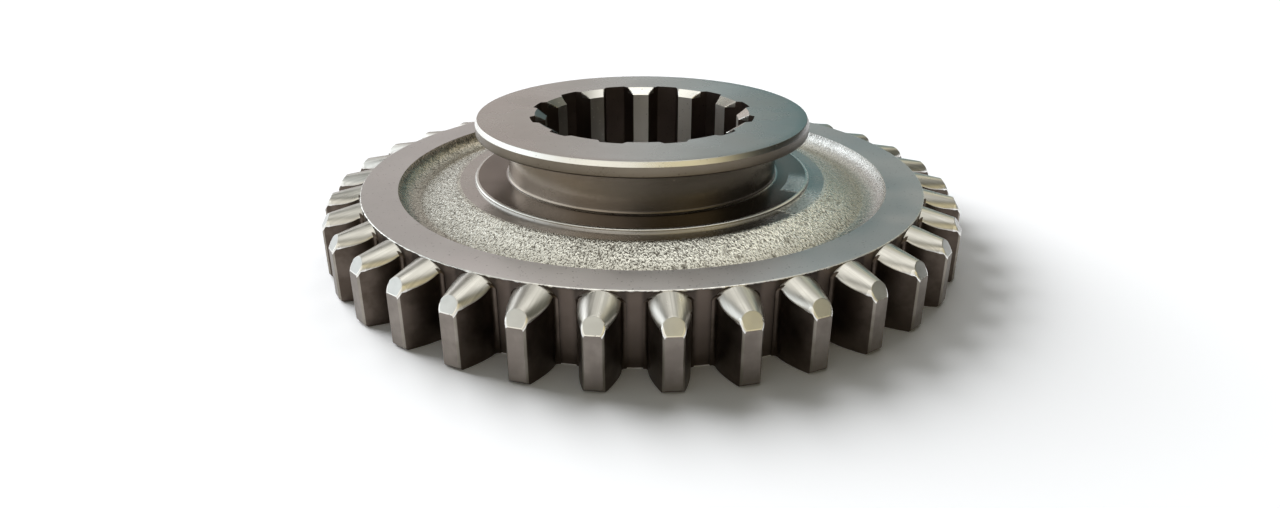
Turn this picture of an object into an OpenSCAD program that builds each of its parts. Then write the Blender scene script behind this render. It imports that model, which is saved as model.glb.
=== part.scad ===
// Sliding transmission gear: a spur gear with its teeth rounded at one end, a dished web, a hub with
// an involute spline bore, and a collar with a groove for a shift fork.
// Millimetres. The origin is on the bore's axis at the flat back face, and +Z runs towards the collar.

/* [Gear teeth] */
// Diameter over the tips of the teeth
tip_d = 180; // [160:1:230]
// Module: pitch diameter for each tooth, from which the number of teeth follows
gear_module = 5; // [4.5:0.25:6]
// Pressure angle of the tooth flanks in degrees
gear_angle = 17.5; // [14.5:0.5:20]
// Height of the teeth above the pitch circle
addendum = 5; // [4:0.1:5.6]
// Depth of the gaps below the pitch circle
dedendum = 5.5; // [5:0.1:6.5]
// Thickness of a tooth along the pitch circle
tooth_w = 8; // [7.2:0.1:8.4]
// Radius of the fillet at the root of a tooth
root_fillet = 1; // [0.5:0.1:1.4]
// Width of the toothed rim along the axis
face_w = 19; // [15:0.5:30]
// Size of the 45 degree bevel along both edges of a tooth's tip
edge_bevel = 0.45; // [0.2:0.05:0.8]

/* [Tooth ends] */
// Height of the bevel at the tips on the collar side
tip_bevel_h = 5.4; // [3:0.1:6]
// Width of that bevel across the face
tip_bevel_w = 3.4; // [2:0.1:5]
// Size of the 45 degree bevel at the tips on the back
back_bevel = 0.8; // [0.4:0.1:2]
// Radius of the arch that rounds the end of each tooth, at the root
arch_r = 6.9; // [6:0.1:7.5]
// Half angle of the tapered end mill that cuts the arch
arch_taper = 14; // [8:0.5:16]
// Fall of the arch's crest towards the tip in degrees
arch_fall = 13; // [8:0.5:16]
// Drop from the rim face to the crest where the arch starts
arch_drop = 0.2; // [0.2:0.05:0.8]

/* [Rim and web] */
// Width of the flat ring of the rim, from the roots inwards
rim_w = 10; // [6:0.5:12]
// Depth of the dish on each side of the web
dish_depth = 4; // [1:0.25:5.5]
// Radius of the cove where the dish meets the rim
cove_r = 5; // [4:0.25:6]
// Radius of the soft edge where the dish meets the hub
brow_r = 3.5; // [1:0.25:4.5]
// Slope of the web from that edge down to the floor of the dish, in degrees
web_slope = 21; // [12:0.5:40]

/* [Hub and fork groove] */
// Diameter of the flat ring of the hub, level with the rim
hub_d = 105; // [100:0.5:108]
// Diameter of the shoulder below the fork groove
shoulder_d = 96.5; // [92:0.5:99]
// Height of the shoulder above the hub ring
shoulder_h = 1.05; // [0.8:0.05:3]
// Width of the shoulder's bevel across the face
shoulder_bevel = 1.1; // [0.4:0.1:2]
// Diameter of the neck at the bottom of the fork groove
neck_d = 77; // [74:0.5:84]
// Width of the fork groove along the axis
groove_w = 12.5; // [8:0.5:20]
// Radius of the fillets at the bottom of the fork groove
groove_fillet = 0.9; // [0.4:0.1:2]
// Diameter of the collar
collar_d = 94.5; // [90:0.5:99]
// Thickness of the collar
collar_t = 4.1; // [3:0.1:8]
// Height of the bevel around the collar's end
collar_bevel_h = 1.3; // [0.4:0.1:1.5]
// Width of that bevel across the face
collar_bevel_w = 0.6; // [0.3:0.1:1.5]

/* [Spline bore] */
// Number of spline grooves
spline_teeth = 12; // [11:1:13]
// Module of the spline
spline_module = 5; // [4.8:0.05:5.2]
// Pressure angle of the spline flanks in degrees
spline_angle = 30; // [27.5:0.5:32]
// Diameter across the lands of the bore
spline_minor_d = 55; // [54:0.25:57]
// Diameter across the bottoms of the grooves
spline_major_d = 64; // [62:0.25:66]
// Width of a groove along the spline's pitch circle
spline_gap = 8.1; // [7.8:0.05:8.4]
// Diameter of the lead-in at both ends of the bore
lead_d = 61; // [57.5:0.25:61.5]
// Depth of the lead-in along the axis
lead_h = 1.75; // [0.5:0.05:3]
// Turn of the spline against the teeth in degrees
spline_turn = 1.75; // [-15:0.25:15]

/* [Hidden] */
$fn = 96;

// Extra length of a cutting body past the surface that it cuts
over = 2;
// Depth to which the teeth are sunk into the rim
sunk = 1.5;
// Length of a tooth's outline past its tip
beyond = 0.5;
// Steps along one involute flank, one fillet and one larger arc
flank_steps = 6;
fillet_steps = 3;
arc_steps = 6;

tip_r = tip_d / 2;
pitch_r = tip_r - addendum;
root_r = pitch_r - dedendum;
gear_teeth = round(2 * pitch_r / gear_module);
rim_in_r = root_r - rim_w;
hub_r = hub_d / 2;
groove_z0 = face_w + shoulder_h;
groove_z1 = groove_z0 + groove_w;
top_z = groove_z1 + collar_t;
spline_pitch_r = spline_teeth * spline_module / 2;

// Angle of an involute at a pressure angle, both in degrees
function involute(angle) = tan(angle) * 180 / PI - angle;

// Half the angle that a tooth takes up at radius r, its flank being radial inside the base circle
function half_angle(r, pitch_r, width, angle) =
    let (base_r = pitch_r * cos(angle))
    width / pitch_r * 90 / PI + involute(angle) - involute(acos(min(1, base_r / r)));

// Point at radius r and a turn from the X axis
function polar(r, turn) = [r * cos(turn), r * sin(turn)];

// Points on an arc around a centre, from one angle to another
function arc(centre, r, from, to, steps) =
    [for (i = [0:steps]) centre + polar(r, from + (to - from) * i / steps)];

// Upper half of one tooth's outline about the X axis, from inside the root to beyond the tip
function half_tooth(pitch_r, root_r, tip_r, width, angle, fillet, bevel) =
    let (start_r = root_r + fillet)
    let (end_r = tip_r - bevel)
    let (start = polar(start_r, half_angle(start_r, pitch_r, width, angle)))
    let (end = polar(end_r, half_angle(end_r, pitch_r, width, angle)))
    concat(
        [[root_r - sunk, start[1] + fillet]],
        arc(start + [0, fillet], fillet, 180, 270, fillet_steps),
        [for (i = [1:flank_steps])
            let (r = start_r + (end_r - start_r) * i / flank_steps)
            polar(r, half_angle(r, pitch_r, width, angle))],
        [end + (bevel + beyond) * [1, -1]]
    );

// Outline of one tooth, symmetrical about the X axis
module tooth_outline(pitch_r, root_r, tip_r, width, angle, fillet, bevel) {
    half = half_tooth(pitch_r, root_r, tip_r, width, angle, fillet, bevel);
    polygon(concat(half, [for (i = [len(half) - 1:-1:0]) [half[i][0], -half[i][1]]]));
}

// Copies around the axis
module around(count) {
    for (i = [0:count - 1])
        rotate([0, 0, i * 360 / count])
            children();
}

// What the tapered end mill takes off one tooth: a bar along the tooth with a conical arch below
module arch_cut() {
    before = sunk + over;
    length = tip_r - root_r + over;
    shrink = tan(arch_taper);
    translate([root_r, 0, face_w - arch_drop])
        rotate([0, arch_fall - arch_taper, 0])
            translate([-before, 0, -arch_r])
                difference() {
                    translate([0, -arch_r, 0])
                        cube([before + length, 2 * arch_r, 2 * arch_r]);
                    translate([-over, 0, 0])
                        rotate([0, 90, 0])
                            cylinder(
                                r1 = arch_r + (before + over) * shrink,
                                r2 = arch_r - (length + over) * shrink,
                                h = before + length + 2 * over
                            );
                }
}

// Ring that the teeth are cut in, bevelled at the tips
module tooth_blank() {
    rotate_extrude()
        polygon([
            [root_r - sunk, 0],
            [tip_r - back_bevel, 0],
            [tip_r, back_bevel],
            [tip_r, face_w - tip_bevel_h],
            [tip_r - tip_bevel_w, face_w],
            [root_r - sunk, face_w]
        ]);
}

module teeth() {
    difference() {
        intersection() {
            linear_extrude(height = face_w)
                around(gear_teeth)
                    tooth_outline(pitch_r, root_r, tip_r, tooth_w, gear_angle, root_fillet, edge_bevel);
            tooth_blank();
        }
        around(gear_teeth)
            arch_cut();
    }
}

// Section that is the same in the front and the back half of the rim's width
module both_halves(half) {
    polygon(concat(half, [for (i = [len(half) - 1:-1:0]) [half[i][0], face_w - half[i][1]]]));
}

// Section of the rim, with a cove down to the floor of the dish
module rim_section() {
    cove_w = sqrt(pow(cove_r, 2) - pow(cove_r - dish_depth, 2));
    cove = [rim_in_r - cove_w, face_w - dish_depth + cove_r];
    both_halves(concat(
        arc(cove, cove_r, 270, 270 + acos((cove_r - dish_depth) / cove_r), arc_steps),
        [[root_r, face_w]]
    ));
}

// Section of the web and of the hub's part inside the rim, with a soft edge and a slope down to the floor
module web_section() {
    edge = arc([hub_r, face_w - brow_r], brow_r, 90, 90 - web_slope, fillet_steps);
    last = edge[fillet_steps];
    foot_z = face_w - dish_depth;
    both_halves(concat(
        [[0, face_w]],
        edge,
        [[last[0] + (last[1] - foot_z) / tan(web_slope), foot_z]],
        [[root_r, foot_z]]
    ));
}

// Section of the shoulder, the neck and the collar, from inside the hub
module collar_section() {
    neck_r = neck_d / 2;
    shoulder_r = shoulder_d / 2;
    collar_r = collar_d / 2;
    polygon(concat(
        [
            [0, face_w - over],
            [neck_r, face_w - over],
            [neck_r, face_w],
            [shoulder_r, face_w],
            [shoulder_r, groove_z0 - shoulder_bevel / 2],
            [shoulder_r - shoulder_bevel, groove_z0]
        ],
        arc([neck_r + groove_fillet, groove_z0 + groove_fillet], groove_fillet, 270, 180, fillet_steps),
        arc([neck_r + groove_fillet, groove_z1 - groove_fillet], groove_fillet, 180, 90, fillet_steps),
        [
            [collar_r, groove_z1],
            [collar_r, top_z - collar_bevel_h],
            [collar_r - collar_bevel_w, top_z],
            [0, top_z]
        ]
    ));
}

// The wheel without teeth and bore, turned about the axis
module wheel_body() {
    rotate_extrude() {
        rim_section();
        web_section();
        collar_section();
    }
}

// The bore: a round hole with involute grooves, and a lead-in at both ends
module spline_bore() {
    minor_r = spline_minor_d / 2;
    major_r = spline_major_d / 2;
    lead_r = lead_d / 2;
    translate([0, 0, -over])
        linear_extrude(height = top_z + 2 * over) {
            circle(r = minor_r);
            intersection() {
                circle(r = major_r);
                rotate(spline_turn + 180 / spline_teeth)
                    around(spline_teeth)
                        tooth_outline(spline_pitch_r, minor_r, major_r, spline_gap, spline_angle, 0, 0);
            }
        }
    for (side = [0, 1])
        translate([0, 0, side * top_z])
            mirror([0, 0, side])
                translate([0, 0, -over])
                    cylinder(
                        r1 = lead_r + (lead_r - minor_r) * over / lead_h,
                        r2 = minor_r,
                        h = lead_h + over
                    );
}

module gear_wheel() {
    color([0.56, 0.55, 0.54])
        difference() {
            union() {
                wheel_body();
                teeth();
            }
            spline_bore();
        }
}

gear_wheel();
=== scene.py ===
"""Looks of the gear wheel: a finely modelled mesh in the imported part's frame, its steels, light, floor and camera.

Lengths of the meshes are in millimetres, as in the part's source, and every vertex is turned into metres when its
mesh is made. Lengths of the steels, the floor and the camera are in metres. The origin is on the bore's axis at
the flat back face, and +Z runs towards the collar.
"""

import math

import bpy
import numpy as np
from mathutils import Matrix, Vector, noise


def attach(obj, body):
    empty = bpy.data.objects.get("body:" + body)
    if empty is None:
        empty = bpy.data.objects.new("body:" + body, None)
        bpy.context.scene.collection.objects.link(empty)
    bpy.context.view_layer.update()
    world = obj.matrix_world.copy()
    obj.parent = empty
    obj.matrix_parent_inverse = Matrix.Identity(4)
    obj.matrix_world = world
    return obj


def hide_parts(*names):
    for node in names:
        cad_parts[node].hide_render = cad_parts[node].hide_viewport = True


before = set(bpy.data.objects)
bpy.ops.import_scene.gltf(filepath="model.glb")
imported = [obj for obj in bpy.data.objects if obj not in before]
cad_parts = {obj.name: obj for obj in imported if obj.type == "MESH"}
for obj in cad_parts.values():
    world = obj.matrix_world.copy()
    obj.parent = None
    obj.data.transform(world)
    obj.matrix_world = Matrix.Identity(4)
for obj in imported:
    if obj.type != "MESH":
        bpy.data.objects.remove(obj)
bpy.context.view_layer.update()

MM = 0.001

# Gear teeth
TEETH = 34
MODULE = 5.0
PRESSURE_ANGLE = 17.5
PITCH_R = TEETH * MODULE / 2
TIP_R = PITCH_R + 5.0
ROOT_R = PITCH_R - 5.5
TOOTH_W = 8.0
ROOT_FILLET = 1.0
FACE_W = 19.0
EDGE_BEVEL = 0.45
TIP_BEVEL_H = 5.4
TIP_BEVEL_W = 3.4
BACK_BEVEL = 0.8
ARCH_R = 6.9
ARCH_TAPER = 14.0
ARCH_FALL = 11.5
ARCH_DROP = 0.2

# Rim, web and hub
RIM_IN_R = ROOT_R - 10.0
DISH_DEPTH = 4.0
COVE_R = 5.0
BROW_R = 3.5
WEB_SLOPE = 21.0
HUB_R = 52.5
SHOULDER_R = 48.25
SHOULDER_H = 1.05
SHOULDER_BEVEL = 1.1
NECK_R = 38.5
GROOVE_W = 12.5
GROOVE_FILLET = 0.9
COLLAR_R = 47.25
COLLAR_T = 4.1
COLLAR_BEVEL_H = 1.3
COLLAR_BEVEL_W = 0.6
GROOVE_Z0 = FACE_W + SHOULDER_H
GROOVE_Z1 = GROOVE_Z0 + GROOVE_W
TOP_Z = GROOVE_Z1 + COLLAR_T

# Spline bore
SPLINES = 12
SPLINE_PITCH_R = 30.0
SPLINE_ANGLE = 30.0
SPLINE_GAP = 8.1
MINOR_R = 27.5
MAJOR_R = 32.0
LEAD_R = 30.5
LEAD_H = 1.75
SPLINE_TURN = 1.75 + 180 / SPLINES

# Softening of corners: its size, the share of a straight run that it may take, and the least turn of a corner in
# degrees
SOFT = 0.12
SOFT_SHARE = 0.4
SOFT_TURN = 24
# Softening of a tooth's long edges: its width by the root and by the tip, the radius from which it grows and the
# length over which it does
CORNER = 0.3
TIP_CORNER = 0.5
CORNER_FROM_R = 87.4
CORNER_OVER = 0.9
# Its height as a share of its width, inside and outside a radius
DROP_IN = 0.8
DROP_OUT = 1.15
DROP_FROM_R = 87
# How much tighter in radius the sides of a tooth's end are than the mill's cone, and how far out that is reached
ARCH_PINCH = 1.55
PINCH_LENGTH = 8
# Radii of the last even station on a tooth's flank and of the last one before the bevel of its tip edge
FLANK_END_R = 86.6
LAST_TOP_R = 89.35
# Distance from the middle of a tooth, as a share of its half width, where the crease between arch and tip bevel
# is taken to be when there is none, and the farthest that it may be
CREASE_NONE = 0.4
CREASE_MOST = 0.86

# Bevel under the collar's edge, painted dark as the shade under the collar
UNDER_BEVEL = 0.4
# Height of the part of the neck's foot that is painted light, and of the top of the shoulder's worn edge, which is
# painted light as a highlight
FOOT_H = 0.25
SHOULDER_HIGHLIGHT_H = 0.4
# Height within which a softened corner still counts as level
LEVEL = 0.005
# Radius at which the outline of the bore gives way to plain circles
INNER_R = 34

# The burr along the rim's front edge: usual size, unevenness, least and greatest size of its cut and of its lip
BURR_CUT = (0.19, 0.32, 0.06, 0.65)
BURR_LIP = (0.03, 0.14, 0.0, 0.15)

# Grains of the forged web: their size, how much longer they are towards the hub than around it, and their height
PEBBLE = 0.62
PEBBLE_STRETCH = 1.6
PEBBLE_DEPTH = 0.16
# Seed of the noise that bends the grains, which would start from the clock without one
GRAIN_SEED = 11
# Points around the web and the distance between them across it, on the front and on the back
WEB_FRONT = (1300, 0.32)
WEB_BACK = (480, 0.8)
# Distance between the places where the front and the back of the web look up their grain
SIDE_SHIFT = 200
# The web gets smoother towards +X: the share of Y that counts with X, the span over which it does, and how much
# of the grain's height it loses
SMOOTH_LEAN = 0.45
SMOOTH_FROM = 40
SMOOTH_TO = 60
SMOOTH_LOSS = 0.6


def involute(angle):
    """The involute of an angle in degrees, in radians."""
    return math.tan(math.radians(angle)) - math.radians(angle)


def half_angle(r, pitch_r, width, pressure):
    """Half the angle that a tooth takes up at radius r, in radians."""
    base_r = pitch_r * math.cos(math.radians(pressure))
    at_r = math.degrees(math.acos(min(1.0, base_r / r)))
    return width / pitch_r / 2 + involute(pressure) - involute(at_r)


# Meshes


class Sheet:
    """Vertices and faces of one piece, with a steel's name for each face and a place for each vertex."""

    def __init__(self):
        self.points = []
        self.faces = []
        self.looks = []
        self.places = []

    def add_grid(self, grid, look, closed, places=None):
        """grid is rows of points. look is the name of a steel, or gives one from the row and column of a face.
        A closed grid's last column joins its first."""
        grid = np.asarray(grid, float)
        rows, columns = grid.shape[:2]
        first = len(self.points)
        self.points += grid.reshape(-1, 3).tolist()
        spots = np.zeros((rows, columns, 3)) if places is None else np.asarray(places, float)
        self.places += spots.reshape(-1, 3).tolist()
        last = columns if closed else columns - 1
        for i in range(rows - 1):
            for j in range(last):
                k = (j + 1) % columns
                a, b = first + i * columns, first + (i + 1) * columns
                self.faces.append((a + j, b + j, b + k, a + k))
                self.looks.append(look(i, j) if callable(look) else look)

    def make(self, name, steels, sharp_over):
        """The finished object, in metres, riding on the wheel's body. Edges that turn by more than sharp_over
        degrees are shaded sharp."""
        mesh = bpy.data.meshes.new(name)
        mesh.from_pydata((np.array(self.points) * MM).tolist(), [], self.faces)
        mesh.polygons.foreach_set("material_index", [steels.index(look) for look in self.looks])
        mesh.polygons.foreach_set("use_smooth", [True] * len(self.faces))
        spot = mesh.attributes.new("place", "FLOAT_VECTOR", "POINT")
        spot.data.foreach_set("vector", np.array(self.places, np.float32).ravel())
        mesh.validate()
        mesh.update()
        mesh.set_sharp_from_angle(angle=math.radians(sharp_over))
        for steel in steels:
            mesh.materials.append(STEELS[steel])
        piece = bpy.data.objects.new(name, mesh)
        bpy.context.scene.collection.objects.link(piece)
        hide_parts("gear_wheel")
        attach(piece, "root")


def arc(cx, cz, r, start, end, steps):
    """Points on an arc in a section, angles in degrees."""
    return [
        (cx + r * math.cos(math.radians(a)), cz + r * math.sin(math.radians(a)))
        for a in np.linspace(start, end, steps + 1)
    ]


def soften(points):
    """A section with its corners cut back and rounded with two extra points."""
    done = [points[0]]
    for before, here, after in zip(points, points[1:], points[2:]):
        here_v, to_a, to_b = Vector(here), Vector(before) - Vector(here), Vector(after) - Vector(here)
        turn = math.pi - to_a.angle(to_b, math.pi)
        if turn < math.radians(SOFT_TURN):
            done.append(here)
            continue
        size = min(SOFT, to_a.length * SOFT_SHARE, to_b.length * SOFT_SHARE)
        a = here_v + to_a.normalized() * size
        b = here_v + to_b.normalized() * size
        for t in (0, 0.33, 0.67, 1):
            done.append(tuple(a * (1 - t) ** 2 + here_v * 2 * t * (1 - t) + b * t * t))
    done.append(points[-1])
    return done


def split(points, longest):
    """A section with its long straight runs divided."""
    done = [points[0]]
    for a, b in zip(points, points[1:]):
        n = max(1, math.ceil(math.dist(a, b) / longest))
        for k in range(1, n + 1):
            done.append((a[0] + (b[0] - a[0]) * k / n, a[1] + (b[1] - a[1]) * k / n))
    return done


def turned(section, turns):
    """A section turned about the axis, as a grid of points."""
    section = np.array(section)
    c, s = np.cos(turns), np.sin(turns)
    r, z = section[:, :1], section[:, 1:]
    return np.stack([r * c, r * s, z + 0 * c], axis=2)


def even_turns(count):
    """Angles of points that are spread evenly around the axis."""
    return np.arange(count) * 2 * math.pi / count


# Hub, collar and spline bore


def spline_outline():
    """Radius and angle of the bore's outline, from one groove to the next."""

    def half(r):
        return half_angle(r, SPLINE_PITCH_R, SPLINE_GAP, SPLINE_ANGLE)

    outline = []
    count = 9
    pitch = 2 * math.pi / SPLINES
    for k in range(SPLINES):
        centre = k * pitch + math.radians(SPLINE_TURN)
        for t in np.linspace(-1, 1, count)[1:-1]:
            outline.append((MAJOR_R, centre + t * half(MAJOR_R)))
        for r in np.linspace(MAJOR_R, MINOR_R, count):
            outline.append((r, centre + half(r)))
        for t in np.linspace(0, 1, count)[1:-1]:
            outline.append((MINOR_R, centre + half(MINOR_R) + t * (pitch - 2 * half(MINOR_R))))
        for r in np.linspace(MINOR_R, MAJOR_R, count):
            outline.append((r, centre + pitch - half(r)))
    return np.array(outline)


def hub_section():
    """The collar's top from the bore outwards, the fork groove, the shoulder and the hub's ring. The shoulder's
    bevel is drawn as a worn, round edge."""
    worn = [
        (
            SHOULDER_R - SHOULDER_BEVEL * (1 - math.sin(t)),
            GROOVE_Z0 - SHOULDER_BEVEL / 2 * (1 - math.cos(t)),
        )
        for t in np.linspace(0, math.pi / 2, 10)
    ]
    return split(soften([
        (INNER_R, TOP_Z),
        (COLLAR_R - COLLAR_BEVEL_W, TOP_Z),
        (COLLAR_R, TOP_Z - COLLAR_BEVEL_H),
        (COLLAR_R, GROOVE_Z1 + UNDER_BEVEL),
        (COLLAR_R - UNDER_BEVEL, GROOVE_Z1),
        *arc(NECK_R + GROOVE_FILLET, GROOVE_Z1 - GROOVE_FILLET, GROOVE_FILLET, 90, 180, 5),
        *arc(NECK_R + GROOVE_FILLET, GROOVE_Z0 + GROOVE_FILLET, GROOVE_FILLET, 180, 270, 5),
        *worn,
        (SHOULDER_R, FACE_W),
        (HUB_R, FACE_W),
    ]), 3)


# Steels of the hub's section from the top down, each with the lowest height that it has. The bevel under the
# collar takes the bore's dark steel as painted shade, the neck's foot takes the face's steel as painted light,
# and the top of the shoulder's worn edge is a painted highlight over painted shade.
HUB_BANDS = (
    (TOP_Z - LEVEL, "face"),
    (TOP_Z - COLLAR_BEVEL_H, "bevel"),
    (GROOVE_Z1 + UNDER_BEVEL, "side"),
    (GROOVE_Z1 + LEVEL, "bore"),
    (GROOVE_Z0 + FOOT_H, "neck"),
    (GROOVE_Z0 + LEVEL, "face"),
    (GROOVE_Z0 - LEVEL, "shoulder"),
    (GROOVE_Z0 - SHOULDER_HIGHLIGHT_H, "edge_highlight"),
    (GROOVE_Z0 - SHOULDER_BEVEL / 2, "side"),
    (FACE_W + SOFT, "face"),
    (FACE_W - LEVEL, "ring"),
)


def make_hub():
    """The bore with its lead-ins, the flat ends of the hub, and everything outside them up to the hub's ring."""
    sheet = Sheet()
    outline = spline_outline()
    radii, turns = outline[:, 0], outline[:, 1]

    def ring(r, z):
        return np.stack([r * np.cos(turns), r * np.sin(turns), z + 0 * turns], axis=1)

    def lead(depth):
        """The outline at a depth in the lead-in."""
        return np.maximum(radii, LEAD_R - (LEAD_R - MINOR_R) * depth / LEAD_H)

    depths = np.linspace(0, LEAD_H, 6)
    bore = [ring(lead(d), d) for d in depths]
    bore += [ring(radii, z) for z in np.linspace(LEAD_H + 0.05, TOP_Z - LEAD_H - 0.05, 12)]
    bore += [ring(lead(d), TOP_Z - d) for d in depths[::-1]]

    def bore_look(i, j):
        r = (radii[j] + radii[(j + 1) % len(radii)]) / 2
        from_end = min(i, len(bore) - 2 - i)
        if from_end < len(depths) - 1 and r < LEAD_R - 0.1:
            return "lead"
        return "land_bore" if r < MINOR_R + 0.05 else "bore"

    sheet.add_grid(bore, bore_look, True)
    flat = [lead(0), np.maximum(radii, LEAD_R + 1), INNER_R + 0 * radii]
    sheet.add_grid([ring(r, TOP_Z) for r in flat], "face", True)
    sheet.add_grid([ring(r, 0) for r in flat[::-1]], "face", True)
    section = hub_section()

    def hub_look(i, j):
        z = (section[i][1] + section[i + 1][1]) / 2
        return next(steel for lowest, steel in HUB_BANDS if z >= lowest)

    sheet.add_grid(turned(section, turns), hub_look, True)
    sheet.add_grid(turned(split([(HUB_R, 0), (INNER_R, 0)], 4), turns), "face", True)
    steels = ("face", "edge_highlight", "bore", "neck", "side", "land_bore", "ring", "shoulder", "bevel", "lead")
    sheet.make("gear_hub", steels, 30)


# Web


def dish_section():
    """The dish from the hub's edge out to the rim: a soft edge, a slope, the floor and a cove, below the face."""
    edge = arc(HUB_R, -BROW_R, BROW_R, 90, 90 - WEB_SLOPE, 6)
    foot_r = edge[-1][0] + (DISH_DEPTH + edge[-1][1]) / math.tan(math.radians(WEB_SLOPE))
    cove_w = math.sqrt(COVE_R**2 - (COVE_R - DISH_DEPTH) ** 2)
    end = 270 + math.degrees(math.acos((COVE_R - DISH_DEPTH) / COVE_R))
    cove = arc(RIM_IN_R - cove_w, COVE_R - DISH_DEPTH, COVE_R, 270, end, 16)
    return [*edge, (foot_r, -DISH_DEPTH), *cove]


def even_section(points, step):
    """The section with its points moved to an even spacing."""
    points = np.array(points)
    along = np.concatenate([[0], np.cumsum(np.hypot(*np.diff(points, axis=0).T))])
    spots = np.linspace(0, along[-1], max(2, round(along[-1] / step)) + 1)
    return np.stack([np.interp(spots, along, points[:, k]) for k in (0, 1)], axis=1)


def grain_place(r, turn, side):
    """The place at which the forged skin's grain is looked up. Grains are longer towards the hub than around it."""
    pulled = RIM_IN_R + (r - RIM_IN_R) / PEBBLE_STRETCH
    return pulled * math.cos(turn), pulled * math.sin(turn) + SIDE_SHIFT * side


def pebbles(x, y):
    """Height of the forged and blasted skin at a place, from about -1 to 1: a dome around each of many uneven
    centres, with wide lumps and a finer grain laid over them."""
    at = Vector((x / PEBBLE, y / PEBBLE, 0.0))
    bend = noise.noise_vector(at * 0.7) * 0.45
    near = noise.voronoi(at + bend)[0]
    domes = 0.62 - near[0]
    lumps = noise.noise(Vector((x / 3.2, y / 3.2, 3.0)))
    grain = noise.noise(at * 2.1)
    return domes + 0.15 * lumps + 0.4 * grain


def make_web():
    """Both dishes. The grain fades out at their edges. Its height is kept in the mesh for the steel, beside the
    place where it was looked up."""
    noise.seed_set(GRAIN_SEED)
    sheet = Sheet()
    for side, (around, step) in ((1, WEB_FRONT), (-1, WEB_BACK)):
        turns = even_turns(around)
        section = even_section(dish_section(), step)
        steps = np.gradient(section, axis=0)
        normal = np.stack([-steps[:, 1], steps[:, 0]], axis=1)
        normal /= np.hypot(*normal.T)[:, None]
        count = len(section)
        rows, places = [], []
        for i in range(count):
            r, z = section[i]
            fade = min(1.0, i / 3, (count - 1 - i) / 4)
            spots = np.array([grain_place(r, t, side) for t in turns])
            lift = np.array([pebbles(x, y) for x, y in spots])
            places.append(np.column_stack([lift * fade, spots]))
            along = r * np.cos(turns) + SMOOTH_LEAN * r * np.sin(turns)
            smooth = np.clip((along - SMOOTH_FROM) / (SMOOTH_TO - SMOOTH_FROM), 0, 1)
            lift = lift * PEBBLE_DEPTH * fade * (1 - SMOOTH_LOSS * smooth)
            rr = r + normal[i, 0] * lift
            zz = z + normal[i, 1] * lift
            height = FACE_W + zz if side > 0 else -zz
            rows.append(np.stack([rr * np.cos(turns), rr * np.sin(turns), height], axis=1))
        if side < 0:
            rows, places = rows[::-1], places[::-1]
        sheet.add_grid(rows, "web", True, places)
    sheet.make("gear_web", ("web",), 60)


# Rim


def make_rim():
    """Both flat faces of the rim and the bottoms of the gaps, with a ragged burr along the front edge: a cut into
    the edge, with a lip that stands out from it."""
    sheet = Sheet()
    turns = even_turns(TEETH * 32)
    ragged = np.array([
        0.6 * noise.noise(Vector((math.cos(t) * 55, math.sin(t) * 55, 0.0)))
        + 0.5 * noise.noise(Vector((math.cos(t) * 150, math.sin(t) * 150, 5.0)))
        for t in turns
    ])

    def size(usual, uneven, least, most):
        return np.clip(usual + uneven * ragged, least, most)

    cut, lip = size(*BURR_CUT), size(*BURR_LIP)

    def ring(r, z):
        r, z = r + 0 * turns, z + 0 * turns
        return np.stack([r * np.cos(turns), r * np.sin(turns), z], axis=1)

    face = [ring(r, FACE_W) for r in np.linspace(RIM_IN_R, ROOT_R - 1.2, 5)]
    face.append(ring(ROOT_R - 0.7, FACE_W))
    burr = [
        ring(ROOT_R - cut, FACE_W),
        ring(ROOT_R - cut * 0.45, FACE_W - cut * 0.22 + lip),
        ring(ROOT_R + lip, FACE_W - cut * 0.7),
        ring(ROOT_R, FACE_W - cut * 1.25),
    ]
    wall = [ring(ROOT_R, z) for z in np.linspace(FACE_W - 1.2, 0.2, 7)]
    back = [ring(ROOT_R - 0.15, 0.0)] + [ring(r, 0.0) for r in np.linspace(ROOT_R - 2, RIM_IN_R, 5)]
    rows = face + burr + wall + back
    burr_from = len(face)
    wall_from = burr_from + len(burr) - 1
    back_from = wall_from + len(wall)

    def look(i, j):
        if i < burr_from or i >= back_from:
            return "rim"
        return "burr" if i < wall_from else "gap"

    sheet.add_grid(rows, look, True)
    sheet.make("gear_rim", ("rim", "burr", "gap"), 50)


# Teeth


def arch_height(x, y):
    """Height of the arch that the tapered end mill leaves on a tooth, at x along it and y across it. Its sides
    are rounder towards the tip than the mill's cone."""
    tilt = math.radians(ARCH_FALL - ARCH_TAPER)
    shrink = math.tan(math.radians(ARCH_TAPER))
    dx = x - ROOT_R
    dz = 0 * y
    for _ in range(5):
        along = dx * math.cos(tilt) - dz * math.sin(tilt)
        r = ARCH_R - along * shrink
        round_r = r - ARCH_PINCH * np.clip(along / PINCH_LENGTH, 0, 1.2)
        up = r - round_r + np.sqrt(np.maximum(round_r**2 - y * y, 0.01)) - ARCH_R
        dz = (up - dx * math.sin(tilt)) / math.cos(tilt)
    return FACE_W - ARCH_DROP + dz


def facet_height(r):
    """Height of the bevel at the tip at radius r."""
    return FACE_W - (r - (TIP_R - TIP_BEVEL_W)) * TIP_BEVEL_H / TIP_BEVEL_W


def crest_radius():
    """Radius at which the arch's crest meets the bevel."""
    radii = np.linspace(TIP_R - TIP_BEVEL_W, TIP_R, 400)
    return float(radii[np.argmax(arch_height(radii, 0 * radii) > facet_height(radii))])


def tooth_top(r, y):
    """Height of a tooth's end, with the crease between arch and bevel softened."""
    a = arch_height(np.sqrt(r * r - y * y), y)
    b = facet_height(r) + 0 * y
    share = np.clip(0.5 + 0.5 * (b - a) / SOFT, 0, 1)
    return b + (a - b) * share - SOFT * share * (1 - share)


# Stations on the bevel of the tip's long edges, as shares of its width
TIP_SHARES = (0.45, 0.7, 1.0)
# Number of stations by the root where a tooth's long edge looks like its flank, and the radius from which it is
# painted light as a highlight
ROOT_STATIONS = 5
HIGHLIGHT_FROM_R = 87.9


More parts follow.
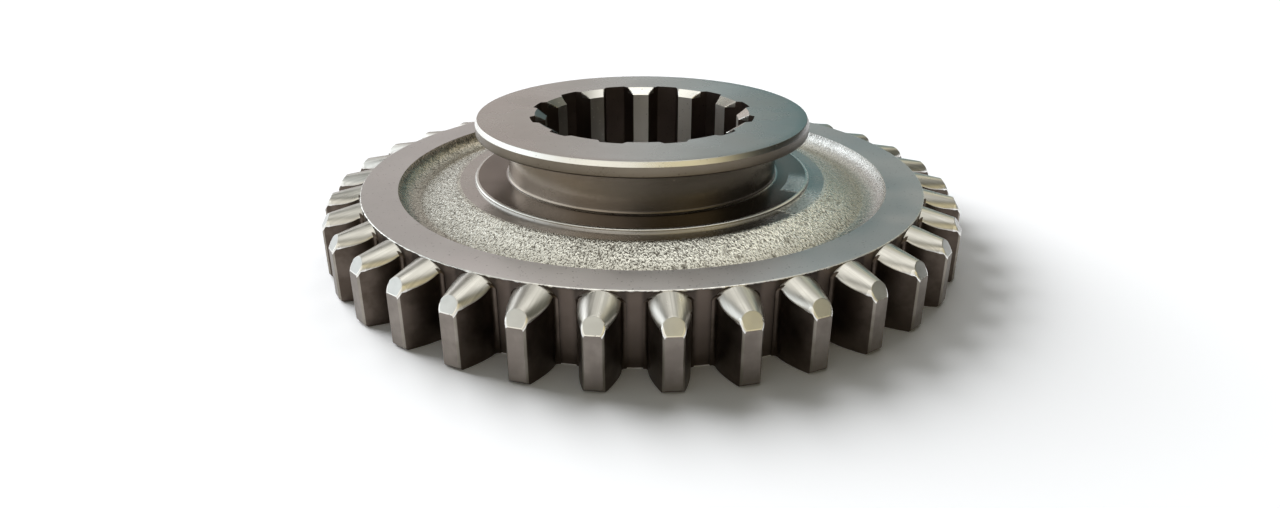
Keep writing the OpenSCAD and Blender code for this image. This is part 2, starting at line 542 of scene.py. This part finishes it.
def tooth_stations():
    """Radius and half width of a tooth at each station from inside the rim to the tip."""

    def half_w(r):
        return r * math.sin(half_angle(r, PITCH_R, TOOTH_W, PRESSURE_ANGLE))

    start_r = ROOT_R + ROOT_FILLET
    start_w = half_w(start_r)
    fillet = arc(start_r, start_w + ROOT_FILLET, ROOT_FILLET, 180, 270, 5)
    stations = [(ROOT_R - 0.5, fillet[0][1])]
    stations += [(math.hypot(x, y), y) for x, y in fillet]
    flank = [start_r + (FLANK_END_R - start_r) * k / 9 for k in range(1, 10)]
    crest_r = crest_radius()
    flank += [crest_r - 0.3, crest_r - 0.14, crest_r - 0.05, crest_r + 0.05, crest_r + 0.16]
    flank += list(np.linspace(crest_r + 0.3, LAST_TOP_R, 7))
    end_r = TIP_R - EDGE_BEVEL
    stations += [(r, half_w(r)) for r in flank + [end_r]]
    for share in TIP_SHARES:
        stations.append((end_r + EDGE_BEVEL * share, half_w(end_r) - EDGE_BEVEL * share))
    return stations


def crease(r, half_w):
    """Distance from the middle at which arch and bevel meet at radius r, or a share of the width where they don't."""
    ys = np.linspace(0, half_w, 60)
    gap = arch_height(np.sqrt(r * r - ys * ys), ys) - facet_height(r)
    if gap[0] <= 0:
        return half_w * CREASE_NONE
    under = np.nonzero(gap <= 0)[0]
    return half_w * CREASE_MOST if len(under) == 0 else min(ys[under[0]], half_w * CREASE_MOST)


def tooth_section(r, half_w):
    """Points across a tooth at radius r, from the middle of its top down one flank to the back."""
    corner = CORNER + (TIP_CORNER - CORNER) * min(1.0, max(0.0, (r - CORNER_FROM_R) / CORNER_OVER))
    drop = corner * (DROP_IN if r < DROP_FROM_R else DROP_OUT)
    y_c = max(crease(r, half_w), 0.25)
    inner = np.maximum(y_c - SOFT, 0.1) * np.linspace(0, 1, 5)
    outer_end = half_w - corner
    outer = y_c + SOFT + (outer_end - y_c - SOFT) * np.linspace(0, 1, 8)
    ys = np.clip(np.concatenate([inner, [y_c - 0.04, y_c + 0.04], outer]), 0, outer_end)
    zs = tooth_top(r, ys)
    edge_z = float(tooth_top(r, np.array([half_w]))[0])
    points = list(zip(ys, zs))
    a, mid, b = points[-1], (half_w, edge_z), (half_w, edge_z - drop)
    for t in (0.3, 0.6, 0.85, 1.0):
        points.append(tuple((1 - t) ** 2 * p + 2 * t * (1 - t) * q + t * t * s for p, q, s in zip(a, mid, b)))
    low = max(0.0, r - (TIP_R - BACK_BEVEL))
    top_z = points[-1][1]
    for share in (0.34, 0.67):
        points.append((half_w, top_z + (low + SOFT - top_z) * share))
    points.append((half_w, low + SOFT))
    points.append((half_w - SOFT, low))
    return points


def random_for(k):
    """A fixed number from 0 to 1 for tooth k."""
    return (math.sin(k * 12.9898 + 4.1) * 43758.5453) % 1.0


def make_teeth():
    """All teeth, each a run of sections from flank to flank and a cap at the tip. Each tooth has a shift of its own
    to the place where its scratches are looked up, so that no two look the same."""
    stations = tooth_stations()
    halves = [tooth_section(r, w) for r, w in stations]
    count = len(halves[0])
    middle = count - 1
    flank_from = count - 5
    tip_bevel_from = len(stations) - len(TIP_SHARES) - 1
    sheet = Sheet()

    def look(i, j):
        """Columns run from the back edge of one flank over the end of the tooth to the other. Outwards from the
        middle come the arch or facet, the softened edge and the flank. The last column is the back. The softened
        edge is painted light as a highlight outwards from HIGHLIGHT_FROM_R, and so is the last row at the tip."""
        from_middle = abs(j + 0.5 - middle)
        if j == 2 * count - 2:
            return "flank"
        if from_middle > flank_from:
            return "band" if i >= tip_bevel_from else "flank"
        r = (stations[i][0] + stations[i + 1][0]) / 2
        if i < ROOT_STATIONS and from_middle > flank_from - 6:
            return "flank"
        if i == len(stations) - 2 or (r > HIGHLIGHT_FROM_R and from_middle > flank_from - 4):
            return "edge_highlight"
        y = halves[i + 1][min(count - 1, int(from_middle))][0]
        return "facet" if facet_height(r) < arch_height(r, np.array([y]))[0] else "arch"

    for k in range(TEETH):
        turn = 2 * math.pi * k / TEETH
        shift = random_for(k) * 10
        rows, places = [], []
        for (r, _), half in zip(stations, halves):
            row = np.array([(-y, z) for y, z in half[::-1]] + half[1:])
            x = np.sqrt(r * r - row[:, 0] ** 2)
            rows.append(np.stack([
                x * math.cos(turn) - row[:, 0] * math.sin(turn),
                x * math.sin(turn) + row[:, 0] * math.cos(turn),
                row[:, 1],
            ], axis=1))
            places.append(np.stack([x - ROOT_R, row[:, 0], 0 * x + shift], axis=1))
        sheet.add_grid(rows, look, True, places)
        left, right = rows[-1][: count - 1], rows[-1][::-1][: count - 1]
        ridge = (left + right) / 2
        ridge[:, :2] *= (TIP_R / np.hypot(ridge[:, 0], ridge[:, 1]))[:, None]
        cap = np.stack([left, ridge, right])
        sheet.add_grid(cap, "land", False, np.full(cap.shape, shift))
        first = len(sheet.points)
        sheet.points += rows[-1][count - 2: count + 1].tolist()
        sheet.places += [[0, 0, shift]] * 3
        sheet.faces.append((first, first + 2, first + 1))
        sheet.looks.append("land")
    sheet.make("gear_teeth", ("arch", "facet", "flank", "land", "edge_highlight", "band"), 34)


# Materials


# Sockets of a mix node that take and give colours
MIX_A, MIX_B, MIX_OUT = 6, 7, 2


class Steel:
    """One steel's node tree. Its methods add nodes, and colour, rough and relief join them to the shader."""

    def __init__(self, name, roughness, metallic=1.0, anisotropic=0.0):
        self.material = bpy.data.materials.new(name)
        self.material.use_nodes = True
        self.nodes = self.material.node_tree.nodes
        self.links = self.material.node_tree.links
        self.nodes.clear()
        self.shader = self.add("ShaderNodeBsdfPrincipled")
        out = self.add("ShaderNodeOutputMaterial")
        self.link(self.shader.outputs["BSDF"], out.inputs["Surface"])
        self.shader.inputs["Metallic"].default_value = metallic
        self.shader.inputs["Roughness"].default_value = roughness
        self.shader.inputs["Anisotropic"].default_value = anisotropic
        self.coords = self.add("ShaderNodeTexCoord").outputs["Object"]
        if anisotropic:
            tangent = self.add("ShaderNodeTangent")
            tangent.direction_type = "RADIAL"
            tangent.axis = "Z"
            self.link(tangent.outputs[0], self.shader.inputs["Tangent"])

    def add(self, kind, **settings):
        node = self.nodes.new(kind)
        for key, value in settings.items():
            setattr(node, key, value)
        return node

    def link(self, a, b):
        self.links.new(a, b)

    def math(self, operation, a, b=None, clamp=False):
        node = self.add("ShaderNodeMath", operation=operation, use_clamp=clamp)
        for spot, value in zip(node.inputs, (a, b)):
            if value is None:
                continue
            if isinstance(value, (int, float)):
                spot.default_value = value
            else:
                self.link(value, spot)
        return node.outputs[0]

    def noise(self, scale, detail=3.0, roughness=0.55, where=None):
        """Noise from 0 to 1, with scale in grains for each metre, or for each millimetre of the mesh's places."""
        node = self.add("ShaderNodeTexNoise")
        node.inputs["Scale"].default_value = scale
        node.inputs["Detail"].default_value = detail
        node.inputs["Roughness"].default_value = roughness
        self.link(where or self.coords, node.inputs["Vector"])
        return node.outputs["Fac"]

    def split(self, vector):
        """The X, Y and Z of a vector."""
        node = self.add("ShaderNodeSeparateXYZ")
        self.link(vector, node.inputs[0])
        return node.outputs

    def place(self):
        """What the mesh keeps for each vertex: the grain's height and place on the web, and the place along and
        across a tooth, with the tooth's shift, on the teeth."""
        return self.split(self.add("ShaderNodeAttribute", attribute_name="place").outputs["Vector"])

    def azimuth(self):
        """Turn about the wheel's axis from +X in radians."""
        spot = self.split(self.coords)
        return self.math("ARCTAN2", spot["Y"], spot["X"])

    def radius(self):
        """Distance from the wheel's axis in metres."""
        flat = self.add("ShaderNodeVectorMath", operation="MULTIPLY")
        self.link(self.coords, flat.inputs[0])
        flat.inputs[1].default_value = (1, 1, 0)
        length = self.add("ShaderNodeVectorMath", operation="LENGTH")
        self.link(flat.outputs[0], length.inputs[0])
        return length.outputs["Value"]

    def lines(self, value, scale, detail=4.0):
        """Noise along one value only: fine lines where the value is the same."""
        node = self.add("ShaderNodeTexNoise", noise_dimensions="1D")
        node.inputs["Scale"].default_value = scale
        node.inputs["Detail"].default_value = detail
        self.link(value, node.inputs["W"])
        return node.outputs["Fac"]

    def ramp(self, value, low, high, colour_low, colour_high):
        """Colour that goes softly from one to another as a value goes from low to high."""
        node = self.add("ShaderNodeMapRange", interpolation_type="SMOOTHSTEP")
        self.link(value, node.inputs["Value"])
        node.inputs["From Min"].default_value = low
        node.inputs["From Max"].default_value = high
        mix = self.add("ShaderNodeMix", data_type="RGBA")
        self.link(node.outputs["Result"], mix.inputs["Factor"])
        for spot, colour in ((MIX_A, colour_low), (MIX_B, colour_high)):
            if isinstance(colour, tuple):
                mix.inputs[spot].default_value = (*colour, 1)
            else:
                self.link(colour, mix.inputs[spot])
        return mix.outputs[MIX_OUT]

    def colour(self, socket):
        self.link(socket, self.shader.inputs["Base Color"])

    def rough(self, value, low, high, rough_low, rough_high):
        """Roughness that goes from one number to another as a value goes from low to high."""
        node = self.add("ShaderNodeMapRange")
        self.link(value, node.inputs["Value"])
        for key, number in (("From Min", low), ("From Max", high), ("To Min", rough_low), ("To Max", rough_high)):
            node.inputs[key].default_value = number
        self.link(node.outputs["Result"], self.shader.inputs["Roughness"])

    def relief(self, height, depth):
        """Bump of a given depth in metres, laid over what is already there."""
        node = self.add("ShaderNodeBump")
        node.inputs["Distance"].default_value = depth
        self.link(height, node.inputs["Height"])
        spot = self.shader.inputs["Normal"]
        if spot.is_linked:
            self.link(spot.links[0].from_socket, node.inputs["Normal"])
        self.link(node.outputs["Normal"], spot)


# Colours of the grain within a painted reflection, a light patch over a real grainy bump, and the radius inside which
# it is not painted
REFLECTION_DARK = (0.62, 0.62, 0.60)
REFLECTION_LIGHT = (0.97, 0.97, 0.95)
REFLECTION_IN_R = 0.0425


def turned_steel(name, colour_a, colour_b, roughness=0.33, metallic=1.0, painted_shading=None, painted_reflection=None):
    """A face that was turned on a lathe: fine rings, a thin haze and small specks. A metallic value below 1
    gives it a dull film. painted_shading is a share of the colour that is lost, as painted shade, or gained as
    painted light if it is negative, then an axis and the span along it over which that comes. painted_reflection
    is the span of azimuth, in degrees, of a painted reflection: a light patch over a real grainy bump, which
    starts crisply and fades out."""
    steel = Steel(name, roughness, metallic, anisotropic=0.35)
    rings = steel.lines(steel.radius(), scale=5200, detail=6)
    haze = steel.noise(scale=38)
    base = steel.ramp(haze, 0.35, 0.68, colour_a, colour_b)
    # Painted shade: the colour darkens along an axis; a negative share paints light there instead.
    if painted_shading:
        lost, axis, start, end = painted_shading
        base = steel.ramp(steel.split(steel.coords)[axis], start, end, base, tuple(c * (1 - lost) for c in colour_a))
    specks = steel.noise(scale=1500, detail=2, roughness=0.5)
    base = steel.ramp(specks, 0.66, 0.74, base, tuple(c * 0.62 for c in colour_a))
    # Painted reflection: a light patch that starts crisply and fades out; only its bump is real grain.
    if painted_reflection:
        ragged = steel.math("MULTIPLY", steel.math("SUBTRACT", specks, 0.5), 0.08)
        turn = steel.math("ADD", steel.azimuth(), ragged)
        start, end = math.radians(painted_reflection[0]), math.radians(painted_reflection[1])
        crisp, faint = 60, 6
        inside = steel.math(
            "MULTIPLY",
            steel.math("MULTIPLY", steel.math("SUBTRACT", turn, start), crisp, clamp=True),
            steel.math("MULTIPLY", steel.math("SUBTRACT", end, turn), faint, clamp=True),
        )
        inside = steel.math("MULTIPLY", inside, steel.math("GREATER_THAN", steel.radius(), REFLECTION_IN_R))
        grain = steel.noise(scale=1700, detail=2, roughness=0.6)
        base = steel.ramp(inside, 0, 1, base, steel.ramp(grain, 0.38, 0.56, REFLECTION_DARK, REFLECTION_LIGHT))
        steel.relief(steel.math("MULTIPLY", inside, grain), 0.00026)
    steel.colour(base)
    steel.rough(steel.noise(scale=60, detail=4), 0.3, 0.7, roughness - 0.05, roughness + 0.08)
    steel.relief(rings, 0.000004)
    steel.relief(steel.noise(scale=900), 0.000005)
    return steel.material


def forged_steel():
    """The web's forged and shot-blasted skin. Its pits are darker and duller than its domes: the pits carry
    painted shade and the domes painted highlights. Its domes are darker too on the floor of the dish, though not
    in the cove. It is browner and darker in the cove on the -X side, as painted shade, and more even on the +X side."""
    steel = Steel("forged_steel", 0.30)
    place = steel.place()
    height = place["X"]
    spot = steel.split(steel.coords)
    along = steel.math("ADD", spot["X"], steel.math("MULTIPLY", spot["Y"], SMOOTH_LEAN))
    where = steel.add("ShaderNodeCombineXYZ")
    steel.link(place["Y"], where.inputs["X"])
    steel.link(place["Z"], where.inputs["Y"])
    patches = steel.noise(scale=26, detail=4)
    grain = steel.noise(scale=2.2, detail=2, roughness=0.6, where=where.outputs[0])
    # Painted highlights on the domes; painted shade in the pits below.
    domes = steel.ramp(patches, 0.36, 0.66, (0.92, 0.91, 0.85), (0.98, 0.975, 0.92))
    domes = steel.ramp(steel.radius(), 0.0570, 0.0645, domes, (0.60, 0.58, 0.525))
    # Painted shade: the cove is browner and darker towards -X.
    cove = steel.ramp(spot["X"], -0.045, -0.005, (0.66, 0.585, 0.50), (0.88, 0.88, 0.87))
    domes = steel.ramp(steel.radius(), 0.0650, 0.0685, domes, cove)
    pit_shade = steel.ramp(patches, 0.36, 0.66, (0.18, 0.165, 0.14), (0.25, 0.23, 0.20))
    base = steel.ramp(height, -0.45, 0.1, pit_shade, domes)
    base = steel.ramp(grain, 0.54, 0.60, base, pit_shade)
    even = steel.ramp(steel.radius(), 0.0640, 0.0685, (0.55, 0.54, 0.48), (0.80, 0.80, 0.79))
    steel.colour(steel.ramp(along, SMOOTH_FROM * MM, SMOOTH_TO * MM, base, even))
    steel.rough(height, -0.4, 0.5, 0.34, 0.17)
    steel.relief(grain, 0.00026)
    return steel.material


def milled_steel(name, colour_a, colour_b, roughness, line_depth, line_scale=2.2, contrast=0.0, middle=None):
    """A tooth's surface with the fine lines of its cutter along it. line_depth is their depth, line_scale their
    number for each millimetre and contrast how much darker they are. middle is a lighter colour painted along
    the middle of each gap between the teeth, as painted light."""
    steel = Steel(name, roughness)
    place = steel.place()
    scratches = steel.lines(steel.math("ADD", place["Y"], place["Z"]), line_scale, detail=5)
    haze = steel.noise(scale=180)
    base = steel.ramp(haze, 0.36, 0.66, colour_a, colour_b)
    if contrast:
        dark = tuple(c * (1 - contrast) for c in colour_a)
        base = steel.ramp(scratches, 0.62, 0.42, base, dark)
    # Painted light along the middle of each gap.
    if middle:
        wave = steel.math("COSINE", steel.math("MULTIPLY", steel.azimuth(), TEETH))
        base = steel.ramp(wave, -0.60, -0.95, base, middle)
    steel.colour(base)
    steel.rough(steel.noise(scale=260), 0.3, 0.7, roughness - 0.04, roughness + 0.07)
    steel.relief(scratches, line_depth)
    steel.relief(steel.noise(scale=1800, detail=2), 0.000004)
    return steel.material


# The darker and lighter tone of plain turned faces, and of edges painted light as highlights
PLAIN = ((0.58, 0.555, 0.54), (0.63, 0.615, 0.60))
EDGE_HIGHLIGHT = ((0.82, 0.80, 0.77), (0.88, 0.87, 0.85))

STEELS = {
    # Painted light: the rim is lighter towards -Y, at its front.
    "rim": turned_steel(
        "rim_steel", (0.57, 0.55, 0.55), (0.62, 0.60, 0.60), 0.33, metallic=0.82, painted_shading=(-0.40, "Y", -0.054, -0.078)
    ),
    "face": turned_steel("turned_steel", *PLAIN, 0.26),
    # Edges painted light as highlights.
    "edge_highlight": turned_steel("edge_highlight_steel", *EDGE_HIGHLIGHT, 0.28),
    # The collar's bevel is painted light as a highlight, with painted shade towards +X.
    "bevel": turned_steel("collar_bevel_steel", *EDGE_HIGHLIGHT, 0.28, painted_shading=(0.78, "X", 0.012, 0.036)),
    # The bore's lead-ins are painted light, with painted shade towards -X.
    "lead": turned_steel(
        "lead_in_steel", (0.86, 0.84, 0.81), (0.92, 0.91, 0.89), 0.28, painted_shading=(0.72, "X", -0.010, -0.024)
    ),
    "burr": turned_steel("burr_steel", (0.93, 0.92, 0.90), (0.97, 0.96, 0.95), 0.28),
    # The hub's ring carries a painted reflection.
    "ring": turned_steel("hub_ring_steel", *PLAIN, 0.26, painted_reflection=(-42, -15)),
    # The neck is painted dark as shade, darker still towards +X.
    "neck": turned_steel(
        "groove_steel", (0.35, 0.30, 0.255), (0.41, 0.355, 0.305), 0.20, painted_shading=(0.68, "X", -0.024, 0.008)
    ),
    # The shoulder's floor is painted dark as shade, and carries a painted reflection.
    "shoulder": turned_steel("shoulder_steel", (0.19, 0.160, 0.138), (0.24, 0.205, 0.18), 0.20, painted_reflection=(-27, -5)),
    # The collar's side is painted dark as shade, darker still towards +X.
    "side": turned_steel(
        "collar_side_steel", (0.150, 0.125, 0.094), (0.19, 0.162, 0.125), 0.30, painted_shading=(0.60, "X", 0.018, 0.040)
    ),
    # The bore's grooves are painted dark as shade.
    "bore": turned_steel("bore_steel", (0.090, 0.068, 0.060), (0.125, 0.098, 0.086), 0.42),
    # The bore's lands are painted light, with painted shade towards -X.
    "land_bore": turned_steel(
        "bore_land_steel", (0.90, 0.86, 0.83), (0.95, 0.92, 0.89), 0.42, painted_shading=(0.66, "X", 0.004, -0.018)
    ),
    "web": forged_steel(),
    "arch": milled_steel(
        "milled_end_steel", (0.68, 0.66, 0.63), (0.78, 0.76, 0.73), 0.30, 0.000007, line_scale=1.3, contrast=0.08
    ),
    "facet": milled_steel("facet_steel", (0.56, 0.56, 0.55), (0.62, 0.62, 0.61), 0.36, 0.000004),
    # Teeth: flanks painted near black as shade, lands and their tip bevels painted dark as shade, the bevels a little
    # less.
    "flank": milled_steel("flank_steel", (0.080, 0.062, 0.050), (0.120, 0.096, 0.080), 0.38, 0.00001),
    "land": milled_steel("land_steel", (0.205, 0.178, 0.158), (0.26, 0.23, 0.205), 0.40, 0.00001),
    "band": milled_steel("land_bevel_steel", (0.26, 0.235, 0.20), (0.33, 0.30, 0.265), 0.36, 0.00001),
    # The gaps are painted dark as shade, with painted light along their middle.
    "gap": milled_steel(
        "gap_steel", (0.062, 0.050, 0.043), (0.088, 0.072, 0.062), 0.42, 0.00001, middle=(0.150, 0.120, 0.102)
    ),
}

make_hub()
make_web()
make_rim()
make_teeth()


# Floor, light and camera


# The floor as it lights the wheel, and as it is seen
FLOOR_COLOUR = (0.80, 0.80, 0.80)
FLOOR_SEEN = (1.045, 1.06, 1.09)
# Half the floor's side in metres
FLOOR_HALF = 40.0


def make_floor():
    """A large pale floor under the wheel."""
    mesh = bpy.data.meshes.new("floor")
    corners = [(x * FLOOR_HALF, y * FLOOR_HALF, 0) for x, y in ((-1, -1), (1, -1), (1, 1), (-1, 1))]
    mesh.from_pydata(corners, [], [(0, 1, 2, 3)])
    floor = bpy.data.objects.new("floor", mesh)
    bpy.context.scene.collection.objects.link(floor)
    paint = Steel("floor_paint", 0.9, metallic=0.0)
    paint.shader.inputs["Specular IOR Level"].default_value = 0.0
    path = paint.add("ShaderNodeLightPath")
    seen = paint.math("MAXIMUM", path.outputs["Is Camera Ray"], path.outputs["Is Glossy Ray"])
    seen = paint.math("MAXIMUM", seen, path.outputs["Is Transmission Ray"])
    paint.colour(paint.ramp(seen, 0, 1, FLOOR_COLOUR, FLOOR_SEEN))
    mesh.materials.append(paint.material)


def direction(azimuth, elevation):
    """Unit vector, the azimuth counted from +X towards +Y, in degrees."""
    a, e = math.radians(azimuth), math.radians(elevation)
    return (math.cos(a) * math.cos(e), math.sin(a) * math.cos(e), math.sin(e))


# The room's own dim tone
ROOM = (0.116, 0.117, 0.096)
# The white that carries the floor's tone on past its far edge, and the angles from straight up between which the
# room passes into it
ROOM_EDGE = (1.0, 1.0, 1.0)
EDGE_FROM = 87
EDGE_TO = 89
# Soft panels of light that are added: azimuth, elevation, inner and outer half angle, colour
PANELS = [
    (90, 77, 5, 41, (1.23, 1.22, 1.14)),
    (102, 18, 5, 24, (0.44, 0.385, 0.375)),
    (74, 13, 4, 26, (0.02, 0.125, 0.155)),
    (134, 18, 6, 18, (1.42, 1.45, 1.45)),
    (172, 10, 22, 46, (1.12, 1.19, 1.22)),
    (240, 30, 10, 42, (0.92, 0.89, 0.80)),
    (308, 30, 6, 38, (0.62, 0.53, 0.30)),
    (53, 35, 3, 15, (0.80, 0.74, 0.54)),
]
# Part of the room's light that reaches matt things
ROOM_SHARE = 0.25
# Wide suns for matt things: name, azimuth, elevation, width, share of the light
SUNS = [("key_sun", 141, 25, 44, 0.72), ("fill_sun", 72, 31, 50, 0.14)]


def make_world():
    """A dim room with a few wide, soft panels. Matt things take less from it, because the suns light them too."""
    world = bpy.data.worlds.new("studio")
    bpy.context.scene.world = world
    world.use_nodes = True
    nodes, links = world.node_tree.nodes, world.node_tree.links
    nodes.clear()
    coords = nodes.new("ShaderNodeTexCoord").outputs["Generated"]

    def facing(azimuth, elevation, inner, outer):
        """1 within the inner half angle of a direction, 0 beyond the outer one."""
        dot = nodes.new("ShaderNodeVectorMath")
        dot.operation = "DOT_PRODUCT"
        links.new(coords, dot.inputs[0])
        dot.inputs[1].default_value = direction(azimuth, elevation)
        share = nodes.new("ShaderNodeMapRange")
        share.interpolation_type = "SMOOTHSTEP"
        links.new(dot.outputs["Value"], share.inputs["Value"])
        share.inputs["From Min"].default_value = math.cos(math.radians(outer))
        share.inputs["From Max"].default_value = math.cos(math.radians(inner))
        return share.outputs["Result"]

    def blend(mode, factor, a, b):
        mix = nodes.new("ShaderNodeMix")
        mix.data_type = "RGBA"
        mix.blend_type = mode
        links.new(factor, mix.inputs["Factor"])
        for spot, value in ((MIX_A, a), (MIX_B, b)):
            if isinstance(value, tuple):
                mix.inputs[spot].default_value = (*value, 1)
            else:
                links.new(value, mix.inputs[spot])
        return mix.outputs[MIX_OUT]

    total = ROOM
    for azimuth, elevation, inner, outer, colour in PANELS:
        total = blend("ADD", facing(azimuth, elevation, inner, outer), total, colour)
    total = blend("MIX", facing(90, 90, EDGE_FROM, EDGE_TO), ROOM_EDGE, total)
    room = nodes.new("ShaderNodeBackground")
    links.new(total, room.inputs["Color"])
    path = nodes.new("ShaderNodeLightPath")
    share = nodes.new("ShaderNodeMapRange")
    share.inputs["To Min"].default_value = 1.0
    share.inputs["To Max"].default_value = ROOM_SHARE
    links.new(path.outputs["Is Diffuse Ray"], share.inputs["Value"])
    links.new(share.outputs["Result"], room.inputs["Strength"])
    out = nodes.new("ShaderNodeOutputWorld")
    links.new(room.outputs[0], out.inputs["Surface"])


def make_sun(name, azimuth, elevation, width, share):
    """A very soft sun that only shades matt things. share is its part of a light that shows colours as written."""
    lamp = bpy.data.lights.new(name, "SUN")
    lamp.angle = math.radians(width)
    lamp.energy = math.pi * share / math.sin(math.radians(elevation))
    holder = bpy.data.objects.new(name, lamp)
    holder.rotation_euler = (-Vector(direction(azimuth, elevation))).to_track_quat("-Z", "Y").to_euler()
    holder.visible_glossy = False
    bpy.context.scene.collection.objects.link(holder)


# Camera, fitted to the photograph's circles: where it is and looks in metres, its lens and sensor in millimetres,
# and its shift as a share of the picture's width
CAMERA_AT = (0.00465, -0.24191, 0.0996)
CAMERA_TO = (0.0, 0.0, -0.0079)
LENS = 24.26
SENSOR = 36
SHIFT_X = -0.0015


def make_camera():
    camera = bpy.data.cameras.new("camera")
    camera.lens = LENS
    camera.sensor_width = SENSOR
    camera.sensor_fit = "HORIZONTAL"
    camera.shift_x = SHIFT_X
    camera.clip_start = 0.005
    holder = bpy.data.objects.new("camera", camera)
    holder.location = CAMERA_AT
    holder.rotation_euler = (Vector(CAMERA_TO) - Vector(CAMERA_AT)).to_track_quat("-Z", "Y").to_euler()
    bpy.context.scene.collection.objects.link(holder)
    bpy.context.scene.camera = holder


make_floor()
make_world()
for sun in SUNS:
    make_sun(*sun)
make_camera()
bpy.context.scene.view_settings.view_transform = "Standard"
